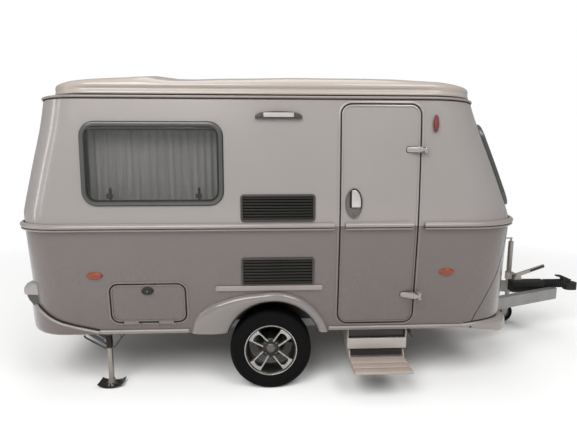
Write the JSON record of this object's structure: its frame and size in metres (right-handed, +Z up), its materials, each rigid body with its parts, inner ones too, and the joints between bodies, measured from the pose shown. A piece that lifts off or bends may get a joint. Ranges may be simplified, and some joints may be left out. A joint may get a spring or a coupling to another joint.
{
  "type": "travel caravan",
  "caption": "Travel caravan: hollow two-tone body with a lifting roof, entrance door, lockers, steadies, jockey wheel, entry step and a ball coupling.",
  "frame": {"origin": "centre of the towing ball in the coupling head", "axes": "+X forward along the drawbar, +Y to the left side, +Z up"},
  "size_m": [4.629, 2.12, 2.246],
  "materials": {
    "acrylic": "tinted acrylic",
    "alloy": "machined and black",
    "black_plastic": "moulded",
    "body_silver": "satin metallic paint",
    "cast_black": "painted",
    "floor_ply": "sealed",
    "galvanised": "galvanised",
    "lens_red": "moulded lens",
    "roof_cream": "gloss laminate",
    "step_aluminium": "satin",
    "trim_silver": "satin",
    "tyre": "rubber",
    "vent_plastic": "moulded",
    "window_rubber": "moulded",
    "zinc": "zinc plated"
  },
  "bodies": {
    "door": {"door_panel": "body_silver", "door_belt": "trim_silver", "door_handle": "vent_plastic", "door_hinges": "cast_black"},
    "service_locker": {"service_flap": "body_silver", "flap_fittings": "cast_black"},
    "gas_locker": {"locker_lid": "body_silver", "lid_hinges": "cast_black"},
    "lifting_roof": {"roof_cap": "roof_cream"},
    "wheel_right": {"tyre_right": "tyre", "rim_right": "alloy"},
    "wheel_left": {"tyre_left": "tyre", "rim_left": "alloy"},
    "jockey_inner": {"jockey_leg": "zinc"},
    "jockey_caster": {"jockey_fork": "zinc"},
    "jockey_roller": {"jockey_wheel": "tyre"},
    "steady_rear_right": {"steady_rear_right": "zinc"},
    "steady_rear_left": {"steady_rear_left": "zinc"},
    "steady_front_right": {"steady_front_right": "zinc"},
    "steady_front_left": {"steady_front_left": "zinc"},
    "step": {"step_tread": "step_aluminium"},
    "caravan_body": {"awning_light": "vent_plastic", "axle_beam": "galvanised", "belt_rail": "trim_silver", "brake_drums": "cast_black", "chassis_frame": "galvanised", "coupling_head": "cast_black", "drawbar": "galvanised", "flap_pins": "zinc", "floor_panel": "floor_ply", "handbrake": "cast_black", "hinge_posts": "cast_black", "jockey_crank": "zinc", "jockey_tube": "zinc", "lid_pins": "zinc", "lower_wall_front": "body_silver", "lower_wall_left": "body_silver", "lower_wall_rear": "body_silver", "lower_wall_right": "body_silver", "marker_lamps": "lens_red", "rear_bumper": "body_silver", "roof_frame": "roof_cream", "side_trims": "body_silver", "sill_rail": "trim_silver", "steady_brackets": "zinc", "step_frame": "step_aluminium", "swing_arms": "cast_black", "tail_lamps": "body_silver", "tail_lenses": "lens_red", "upper_wall_front": "body_silver", "upper_wall_left": "body_silver", "upper_wall_rear": "body_silver", "upper_wall_right": "body_silver", "vent_grilles": "vent_plastic", "wheel_arch_left": "body_silver", "wheel_arch_right": "body_silver", "wheel_boxes": "black_plastic", "window_frames": "window_rubber", "window_panes": "acrylic"}
  },
  "joints": [
    {"name": "wheel_right_spin", "type": "hinge", "parent": "caravan_body", "child": "wheel_right", "pos_m": [-2.8, -0.816, -0.14], "axis": [0, 1, 0], "continuous": true},
    {"name": "wheel_left_spin", "type": "hinge", "parent": "caravan_body", "child": "wheel_left", "pos_m": [-2.8, 0.816, -0.14], "axis": [0, 1, 0], "continuous": true},
    {"name": "entrance_door", "type": "hinge", "parent": "caravan_body", "child": "door", "pos_m": [-1.782, -0.99, 0.745], "axis": [0, 0, 1], "range_deg": [0, 120]},
    {"name": "service_locker", "type": "hinge", "parent": "caravan_body", "child": "service_locker", "pos_m": [-3.628, -0.93, 0.09], "axis": [1, 0, 0], "range_deg": [0, 100]},
    {"name": "gas_locker", "type": "hinge", "parent": "caravan_body", "child": "gas_locker", "pos_m": [-0.989, 0, 0.475], "axis": [0, -1, 0], "range_deg": [0, 95]},
    {"name": "roof_lift", "type": "slide", "parent": "caravan_body", "child": "lifting_roof", "axis": [0, 0, 1], "range_m": [0, 0.32]},
    {"name": "jockey_screw", "type": "slide", "parent": "caravan_body", "child": "jockey_inner", "axis": [0, 0, 1], "range_m": [0, 0.15]},
    {"name": "jockey_swivel", "type": "hinge", "parent": "jockey_inner", "child": "jockey_caster", "pos_m": [-0.43, 0.262, -0.2], "axis": [0, 0, 1], "continuous": true},
    {"name": "jockey_wheel_spin", "type": "hinge", "parent": "jockey_caster", "child": "jockey_roller", "pos_m": [-0.475, 0.262, -0.33], "axis": [0, 1, 0], "continuous": true},
    {"name": "steady_rear_right", "type": "hinge", "parent": "caravan_body", "child": "steady_rear_right", "pos_m": [-3.96, -0.785, -0.025], "axis": [0, 1, 0], "range_deg": [0, 75]},
    {"name": "steady_rear_left", "type": "hinge", "parent": "caravan_body", "child": "steady_rear_left", "pos_m": [-3.96, 0.785, -0.025], "axis": [0, 1, 0], "range_deg": [0, 75]},
    {"name": "steady_front_right", "type": "hinge", "parent": "caravan_body", "child": "steady_front_right", "pos_m": [-1.35, -0.66, -0.025], "axis": [0, -1, 0], "range_deg": [0, 85]},
    {"name": "steady_front_left", "type": "hinge", "parent": "caravan_body", "child": "steady_front_left", "pos_m": [-1.35, 0.66, -0.025], "axis": [0, -1, 0], "range_deg": [0, 85]},
    {"name": "entry_step", "type": "slide", "parent": "caravan_body", "child": "step", "axis": [0, 1, 0], "range_m": [0, 0.24]}
  ]
}
